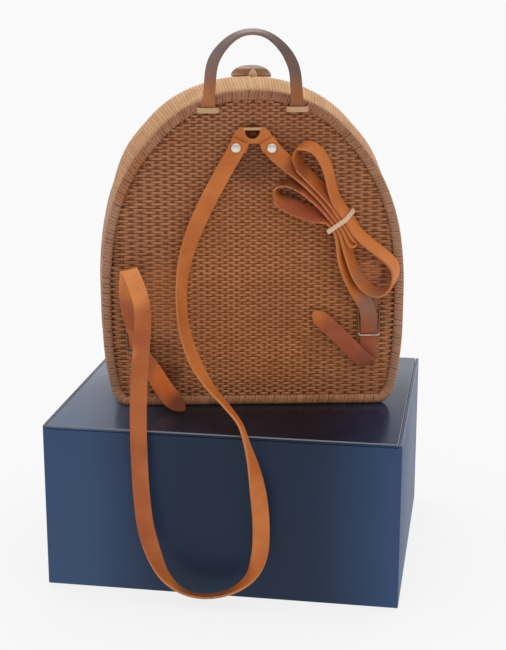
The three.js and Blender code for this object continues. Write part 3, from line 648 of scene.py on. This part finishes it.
def wall_ribs(name, seed):
    """Strands from rim to rim over the swelling wall, side by side all the way round it."""
    rng = np.random.default_rng(seed)
    count = round(dome_outline(OUTLINE_POINTS)[2] / RIB_PITCH)
    line, inward, _ = dome_outline(count)
    stops = np.linspace(0, 1, RIB_STOPS)
    runs = []
    for spot, way in zip(line, inward):
        flat = spot + way * (GUSSET_SINK - wall_swell(spot[1]) * np.sin(math.pi * stops))[:, None]
        back = bag_point(flat, RIM_DEPTH, False)
        front = bag_point(flat, RIM_DEPTH, True)
        middles = back + (front - back) * stops[:, None]
        side = np.tile((-way[1], 0.0, way[0]), (len(stops), 1))
        out = np.tile((-way[0], 0.0, -way[1]), (len(stops), 1))
        runs.append((middles, side, out, np.full(len(stops), rng.uniform()), rng.uniform()))
    return strand_mesh(name, runs, RIB_SECTION)


wall = Finish("ribbed_cane", Roughness=0.55, Specular_IOR_Level=0.3)
streak = wall.noise(500.0, (1.0, 0.06, 1.0), 3.0)
straw = wall.mix(wall.own("tint"), tone(210, 162, 113), tone(226, 180, 129))
straw = wall.mix(0.55 * wall.between(wall.noise(55.0), 0.5, 0.7), straw, tone(196, 142, 94))
# Painted light and shade: straw-pale on top where the light falls, darker and browner lower down, and
# darker towards the sides.
painted_shade_lower_wall = wall.mix(wall.own("tint"), tone(154, 104, 72), tone(186, 136, 100))
straw = wall.mix(wall.between(axis(wall, "Z") + 0.03 * wall.noise(20.0), 0.27, 0.44), painted_shade_lower_wall, straw)
shoulder = wall.between(abs(axis(wall, "X") - BAG_X), 0.04, 0.085)
straw = wall.mix(shoulder, straw, (0.87, 0.79, 0.75, 1.0), "MULTIPLY")
fleck = wall.between(wall.noise(330.0, (1.0, 0.4, 1.0), 2.0), 0.68, 0.76)
straw = wall.mix(0.7 * fleck, straw, tone(132, 84, 50))
wall.set("Base Color", wall.mix(0.3 * streak, straw, tone(168, 118, 76)))
wall.set("Roughness", 0.45 + 0.25 * streak)
wall.bump(streak, 0.0002, 0.5)

gusset = merged_copy("gusset", "gusset_wall")
smooth(gusset, 40)
gusset.data.materials.append(wall.block)
ribs = wall_ribs("gusset_ribs", seed=21)
ribs.data.materials.append(wall.block)
keep(joined(gusset, ribs), "gusset_weave", "gusset")

# %% [markdown]
# ## Leather
#
# The straps are cut from tan hide, so their faces are dyed and their cut edges took less of the dye. Two
# finishes are enough: a face with grain and slow blotches, and an edge with fine layers. On a strap the
# narrow faces are the cut edges, so they are told apart by their size. The handle and the clasp get the
# same two finishes, with painted light and shade that change with height, and the handle is painted darker
# on its right limb as shade.

# %% Leather finishes
def leather(name, light, dark, edge_tone, rough):
    """A face finish between two dyes, and a finish for the cut edges."""
    face = Finish(name + "_face", Roughness=rough, Specular_IOR_Level=0.25)
    blotch = face.between(face.noise(24.0, detail=4.0), 0.35, 0.68)
    grain = {"Vector": face.place(), "Scale": 850.0, "Randomness": 1.0}
    pores = face.node("ShaderNodeTexVoronoi", {"feature": "SMOOTH_F1"}, grain)
    scuff = face.between(face.noise(130.0, detail=5.0), 0.55, 0.75)
    dye = face.mix(blotch, light(face), dark(face))
    face.set("Base Color", face.mix(0.16 * scuff, dye, tone(*edge_tone)))
    face.set("Roughness", rough - 0.08 + 0.2 * pores + 0.12 * scuff)
    face.bump(pores + 0.5 * face.noise(300.0), 0.00035, 0.5)
    cut = Finish(name + "_cut_edge", Roughness=0.7, Specular_IOR_Level=0.2)
    layers = cut.noise(420.0, detail=4.0)
    cut.set("Base Color", cut.mix(cut.between(layers, 0.3, 0.75), tone(*edge_tone), light(cut)))
    cut.set("Roughness", 0.6 + 0.2 * layers)
    cut.bump(layers, 0.0003, 0.5)
    return face.block, cut.block


# Painted light and shade on the straps: x, z, radius, and what the dye's red, green and blue are multiplied
# by. Shares below one paint shade where plies and loops shade the strap, shares above one paint light.
STRAP_LIGHT_AND_SHADE = (
    (-0.1, 0.272, 0.03, (1.08, 1.16, 1.36)),
    (-0.07, 0.176, 0.02, (1.1, 0.98, 0.9)),
    (-0.056, 0.15, 0.022, (0.66, 0.58, 0.6)),
    (0.115, 0.232, 0.036, (0.74, 0.86, 1.4)),
    (0.088, 0.208, 0.04, (0.82, 0.74, 0.95)),
    (0.108, 0.191, 0.018, (0.72, 0.66, 0.92)),
    (0.05, 0.325, 0.034, (0.88, 0.76, 1.0)),
    (0.037, 0.349, 0.014, (0.56, 0.5, 0.6)),
    (0.042, 0.362, 0.016, (0.82, 0.78, 0.9)),
    (-0.1055, 0.214, 0.013, (1.0, 1.0, 1.3)),
    (-0.0385, 0.009, 0.034, (0.72, 0.78, 1.02)),
    (0.101, 0.27, 0.012, (0.96, 1.02, 1.36)),
)
RED_SHARES = (0.88, 0.83, 0.95)


def shared(colour, shares):
    """A screen colour with its red, green and blue multiplied, and kept within 255."""
    return [min(round(part * share), 255) for part, share in zip(colour, shares)]


def strap_tone(colour):
    """Tan dye, redder on the left limb, with painted shade and light where plies and loops shade the strap
    or leave it lit.
    """
    def dye(finish):
        inner = finish.between(axis(finish, "X"), -0.09, -0.062)
        tan = finish.mix(inner, tone(*shared(colour, RED_SHARES)), tone(*colour))
        for x, z, radius, shares in STRAP_LIGHT_AND_SHADE:
            tan = painted_patch(finish, tan, (x, 0.0, z), radius, shared(colour, shares))
        return tan
    return dye


def height_painted_tone(foot, *steps):
    """A dye with painted light and shade that change with height: each step (low, high, colour) goes over
    the ones below it.
    """
    def dye(finish):
        shade = tone(*foot)
        for low, high, colour in steps:
            shade = finish.mix(finish.between(axis(finish, "Z"), low, high), shade, tone(*colour))
        return shade
    return dye


def shaded_right_limb(dye):
    """The same dye with painted light and shade: a little lighter on the handle's left limb and darker on
    its right one.
    """
    def sided(finish):
        right = finish.between(axis(finish, "X"), 0.0, 0.03)
        shade = finish.mix(1 - right, dye(finish), (1.2, 1.17, 1.14, 1.0), "MULTIPLY")
        return finish.mix(right, shade, (0.78, 0.73, 0.7, 1.0), "MULTIPLY")
    return sided


strap_hide = leather("strap_hide", strap_tone((214, 126, 62)), strap_tone((194, 106, 48)),
                     edge_tone=(200, 132, 86), rough=0.5)
# On the handle: warm at the feet, greyer and darker up its arcs as painted sheen and shade, and pale on top
# as a painted highlight.
handle_light = height_painted_tone((178, 114, 73), (0.428, 0.452, (130, 107, 99)),
                         (0.457, 0.466, (114, 99, 97)), (0.4765, 0.4815, (148, 130, 127)))
handle_dark = height_painted_tone((152, 94, 57), (0.428, 0.452, (114, 93, 86)),
                        (0.457, 0.466, (96, 84, 82)), (0.4765, 0.4815, (126, 110, 108)))
handle_hide = leather("handle_hide", shaded_right_limb(handle_light), shaded_right_limb(handle_dark),
                      edge_tone=(138, 110, 98), rough=0.46)
# On the clasp: a darker band as painted shade under the bridge, and a pale top as a painted highlight.
clasp_light = height_painted_tone((166, 106, 66), (0.4385, 0.4405, (142, 90, 54)), (0.4428, 0.4446, (202, 174, 158)))
clasp_dark = height_painted_tone((142, 88, 52), (0.4385, 0.4405, (120, 74, 42)), (0.4428, 0.4446, (178, 152, 138)))
clasp_hide = leather("clasp_hide", clasp_light, clasp_dark, edge_tone=(150, 106, 78), rough=0.5)
print("leather ready:", [hide[0].name for hide in (strap_hide, handle_hide, clasp_hide)])

# %% Straps, handle, tabs and clasp
FACE, CUT_EDGE = 0, 1
CUT_SHARE = 0.7  # a face with no edge longer than this share of the strap's width is a cut edge
STRAP_EASE = 0.0005


def cut_strap(node, name, width, hide):
    """A strap from its CAD solid: pale cut edges, eased corners and smooth bends."""
    piece = merged_copy(node, name)
    for finish in hide:
        piece.data.materials.append(finish)
    only(piece)
    bpy.ops.object.mode_set(mode="EDIT")
    bpy.ops.mesh.select_mode(type="EDGE")
    bpy.ops.mesh.select_all(action="DESELECT")
    shape = bmesh.from_edit_mesh(piece.data)
    for face in shape.faces:
        longest = max(line.calc_length() for line in face.edges)
        face.material_index = CUT_EDGE if longest < CUT_SHARE * width else FACE
    for line in shape.edges:
        kinds = {face.material_index for face in line.link_faces}
        line.select_set(kinds == {FACE, CUT_EDGE})
    bmesh.update_edit_mesh(piece.data)
    bpy.ops.mesh.bevel(offset=STRAP_EASE, segments=2, affect="EDGES", clamp_overlap=True)
    bpy.ops.object.mode_set(mode="OBJECT")
    modify(piece, "SUBSURF", levels=2, render_levels=2)
    smooth(piece)
    return piece


for node, width, hide, slot in (
    ("strap_left", 0.0145, strap_hide, "strap_leather"),
    ("strap_right", 0.0145, strap_hide, "strap_leather"),
    ("anchor_tab_left", 0.013, strap_hide, "strap_leather"),
    ("anchor_tab_right", 0.013, strap_hide, "strap_leather"),
    ("handle", 0.0102, handle_hide, "handle_leather"),
    ("clasp_bridge", 0.013, clasp_hide, "handle_leather"),
):
    keep(cut_strap(node, node + "_leather", width, hide), slot, node)

# %% [markdown]
# ## Yoke
#
# The straps start from a flat leather plate with a small opening. Its flat faces only need eased edges.

# %% Yoke plate
def flat_plate(node, name, ease, finishes, segments=2):
    """A flat-faced solid made of whole faces. Its eased edges take the last of its finishes."""
    piece = merged_copy(node, name)
    for finish in finishes:
        piece.data.materials.append(finish)
    only(piece)
    bpy.ops.object.mode_set(mode="EDIT")
    bpy.ops.mesh.select_all(action="SELECT")
    bpy.ops.mesh.dissolve_limited(angle_limit=math.radians(1.0))
    bpy.ops.object.mode_set(mode="OBJECT")
    modify(piece, "BEVEL", width=ease, segments=segments, limit_method="ANGLE",
           angle_limit=math.radians(30), material=len(finishes) - 1)
    smooth(piece, 40)
    return piece


yoke = flat_plate("strap_yoke", "strap_yoke_leather", ease=0.0006, finishes=strap_hide)
keep(yoke, "strap_leather", "strap_yoke")

# %% [markdown]
# ## Cane strips and peg
#
# Short strips of split cane hold the handle's feet and the yoke's top, and a cane peg closes the clasp. The
# strips lie along X, so the noise that makes their fibres is drawn out along X.

# %% Cane fittings
strip = Finish("cane_strip", Roughness=0.42, Specular_IOR_Level=0.45)
fibre = strip.noise(600.0, (0.12, 1.0, 1.0), 3.0)
strip.set("Base Color", strip.mix(0.6 * fibre, tone(214, 172, 132), tone(180, 132, 92)))
strip.set("Roughness", 0.34 + 0.25 * fibre)
strip.bump(fibre, 0.0002, 0.5)

for node in ("handle_binding_left", "handle_binding_right"):
    staple = merged_copy(node, node + "_strip")
    modify(staple, "BEVEL", width=0.0004, segments=2, limit_method="ANGLE", angle_limit=math.radians(50))
    modify(staple, "SUBSURF", levels=1, render_levels=1)
    smooth(staple)
    staple.data.materials.append(strip.block)
    keep(staple, "cane_trim", node)

bar = flat_plate("yoke_bar", "yoke_bar_strip", ease=0.0005, finishes=[strip.block], segments=3)
keep(bar, "cane_trim", "yoke_bar")
peg = merged_copy("clasp_peg", "clasp_peg_turned")
modify(peg, "SUBSURF", levels=2, render_levels=2)
smooth(peg)
peg.data.materials.append(strip.block)
keep(peg, "cane_trim", "clasp_peg")

# %% [markdown]
# ## Metal
#
# The rivets are pale nickel caps and the buckles are bent wire. Metal needs little colour but some uneven
# polish, or it looks like grey plastic.

# %% Rivets and buckles
BAR_FADE = 0.003


def metal(name, light, dark, rough):
    """Polished metal with fine rubbed patches. light makes the main colour, dark is a plain one."""
    finish = Finish(name, Metallic=1.0, Roughness=rough)
    rub = finish.noise(420.0, detail=5.0)
    finish.set("Base Color", finish.mix(rub, light(finish), tone(*dark)))
    finish.set("Roughness", rough - 0.08 + 0.25 * rub)
    finish.bump(rub, 0.0001, 0.3)
    return finish.block


def bar_highlight_tone(bar_height):
    """Dull wire with a painted highlight on the lower bar that the strap runs over."""
    def colour(finish):
        higher = finish.between(axis(finish, "Z"), bar_height, bar_height + BAR_FADE)
        return finish.mix(higher, tone(250, 236, 214), tone(126, 98, 78))
    return colour


nickel = metal("rivet_nickel", lambda finish: tone(246, 240, 232), (214, 204, 192), 0.3)
for side, bar_height in (("left", 0.2), ("right", 0.2155)):
    rivet = merged_copy("rivet_" + side, "rivet_cap_" + side)
    modify(rivet, "BEVEL", width=0.0002, segments=2, limit_method="ANGLE", angle_limit=math.radians(40))
    smooth(rivet, 50)
    rivet.data.materials.append(nickel)
    keep(rivet, "rivet_metal", "rivet_" + side)
    wire = merged_copy("buckle_" + side, "buckle_wire_" + side)
    modify(wire, "SUBSURF", levels=2, render_levels=2)
    smooth(wire)
    wire.data.materials.append(metal("buckle_wire_" + side, bar_highlight_tone(bar_height), (112, 86, 68), 0.3))
    keep(wire, "buckle_metal", "buckle_" + side)

# %% [markdown]
# ## Tie
#
# A pale band gathers the five layers of the right strap. Its corners are rounded over the leather.

# %% Tie band
band = Finish("tie_band", Roughness=0.6)
thread = band.noise(900.0, detail=2.0)
band.set("Base Color", band.mix(thread, tone(240, 210, 178), tone(212, 174, 138)))
band.set("Roughness", 0.5 + 0.25 * thread)
band.bump(thread, 0.0002, 0.4)
tie = merged_copy("strap_tie", "strap_tie_band")
modify(tie, "BEVEL", width=0.0004, segments=3, limit_method="ANGLE", angle_limit=math.radians(30))
smooth(tie, 50)
tie.data.materials.append(band.block)
keep(tie, "tie_band", "strap_tie")

# %% [markdown]
# ## Box
#
# The box is board wrapped in dark blue coated paper. Its faces are plain, so the finish does the work: a
# little fibre in the paper, a satin coat that mirrors the white room at a low angle, a painted highlight
# along the upper edges, and paper that is darker in the middle and lighter towards the ends. The bevel that
# eases the edges can give its new faces a material of their own, so the highlight paper needs no painting
# by hand. The lid is the darkest and the smoothest, and mirrors the bag; its near-black middle in front of
# the bag is painted shade.

# %% Box papers
DARKEST_X = -0.005


def coated_paper(name, middle, left, right, rough, edge_highlight=None):
    """Blue paper, darker in its middle and lighter towards the box's ends, with a painted highlight along
    the upper edges when asked.
    """
    sheet = Finish(name, Roughness=rough, Specular_IOR_Level=0.22)
    fleck = sheet.noise(900.0, detail=2.0)
    cloud = sheet.noise(9.0, detail=3.0)
    toward_ends = sheet.between(abs(axis(sheet, "X") - DARKEST_X) + 0.02 * cloud, 0.06, 0.165)
    ends = sheet.mix(sheet.between(axis(sheet, "X"), -0.06, 0.05), tone(*left), tone(*right))
    blue = sheet.mix(toward_ends + 0.2 * fleck, tone(*middle), ends)
    if edge_highlight:
        highlit_edge = sheet.between(axis(sheet, "Z") + 0.001 * sheet.noise(120.0), 0.1472, 0.1488)
        blue = sheet.mix(highlit_edge, blue, tone(*edge_highlight))
    sheet.set("Base Color", blue)
    sheet.set("Roughness", rough - 0.06 + 0.1 * fleck + 0.06 * cloud)
    sheet.bump(fleck, 0.00005, 0.2)
    return sheet.block


NAVY = ((24, 38, 60), (54, 78, 113), (52, 78, 115))
tray_paper = coated_paper("tray_paper", *NAVY, rough=0.42)
# On the lid the near-black middle, in front of the bag, is painted shade.
lid_paper = coated_paper("lid_paper", (14, 18, 27), (84, 98, 124), (26, 42, 72), rough=0.19)
edge_paper = coated_paper("edge_paper", *NAVY, rough=0.4, edge_highlight=(124, 128, 138))
print("papers:", tray_paper.name, lid_paper.name, edge_paper.name)

# %% Box
for node, paper_face in (("box_tray", tray_paper), ("box_lid", lid_paper)):
    board = flat_plate(node, node + "_board", ease=0.0009, finishes=[paper_face, edge_paper], segments=3)
    keep(board, "box_board", node)
